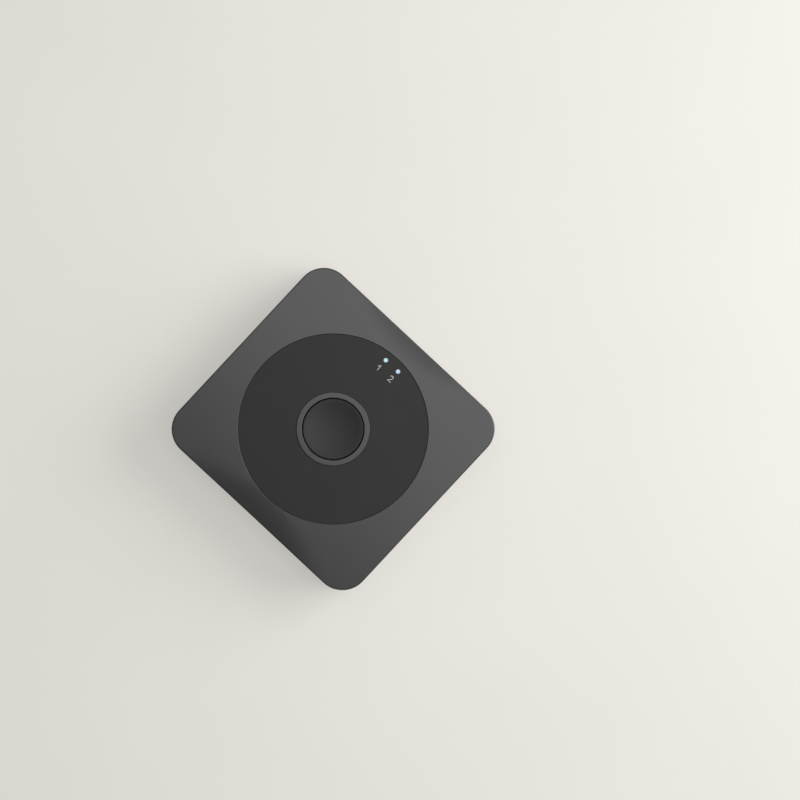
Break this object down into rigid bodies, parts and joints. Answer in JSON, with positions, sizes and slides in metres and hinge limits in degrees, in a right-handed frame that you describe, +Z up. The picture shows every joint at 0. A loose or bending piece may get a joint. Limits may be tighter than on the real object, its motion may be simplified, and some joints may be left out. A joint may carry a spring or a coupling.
{
  "type": "video switch box",
  "caption": "Flat rounded-square video switch box with a dished push button in a round face disc, indicator lights and plug sockets in opposite side walls.",
  "frame": {"origin": "on the table, under the middle of the case", "axes": "+X along the socket walls, +Y towards the wall with two sockets, +Z up out of the face disc"},
  "size_m": [0.0584, 0.0556, 0.015],
  "materials": {
    "case_plastic": "fine moulded texture, dark grey",
    "disc_plastic": "smooth satin, darker grey",
    "button_plastic": "smooth satin, dark grey",
    "adhesive_film": "thin double-sided film",
    "clear_acrylic": "clear, polished tip",
    "board_laminate": "green solder mask",
    "chip_resin": "moulded epoxy",
    "led_resin": "milky resin",
    "capacitor_ceramic": "fired, plain",
    "resistor_ceramic": "glazed black",
    "black_nylon": "moulded, satin",
    "plated_steel": "tin-nickel plated sheet",
    "gold_plate": "gold flash on spring bronze",
    "rubber": "matt, moulded"
  },
  "bodies": {
    "case": {"top_cover": "case_plastic", "base_cover": "case_plastic", "face_disc": "disc_plastic", "disc_film": "adhesive_film", "light_pipe_1": "clear_acrylic", "light_pipe_2": "clear_acrylic", "circuit_board": "board_laminate", "switch_chip": "chip_resin", "led_1": "led_resin", "led_2": "led_resin", "capacitors": "capacitor_ceramic", "resistors": "resistor_ceramic", "surge_arrays": "chip_resin", "push_switch_base": "black_nylon", "push_switch_plate": "plated_steel", "push_switch_dome": "plated_steel", "push_switch_leads": "plated_steel", "case_screws": "plated_steel", "feet": "rubber", "socket_1_shell": "plated_steel", "socket_1_insulator": "black_nylon", "socket_1_contacts": "gold_plate", "socket_2_shell": "plated_steel", "socket_2_insulator": "black_nylon", "socket_2_contacts": "gold_plate", "common_socket_shell": "plated_steel", "common_socket_insulator": "black_nylon", "common_socket_contacts": "gold_plate"},
    "button": {"button_cap": "button_plastic"},
    "switch_stem": {"push_switch_stem": "black_nylon"}
  },
  "joints": [
    {"name": "button_press", "type": "slide", "parent": "case", "child": "button", "axis": [0, 0, -1], "range_m": [0, 0.0005], "stiffness_N_per_m": 3000},
    {"name": "stem_press", "type": "slide", "parent": "case", "child": "switch_stem", "axis": [0, 0, -1], "range_m": [0, 0.0005], "deforming": ["push_switch_dome"]}
  ],
  "couplings": [
    {"joint": "stem_press", "follows": "button_press", "ratio": 1}
  ]
}
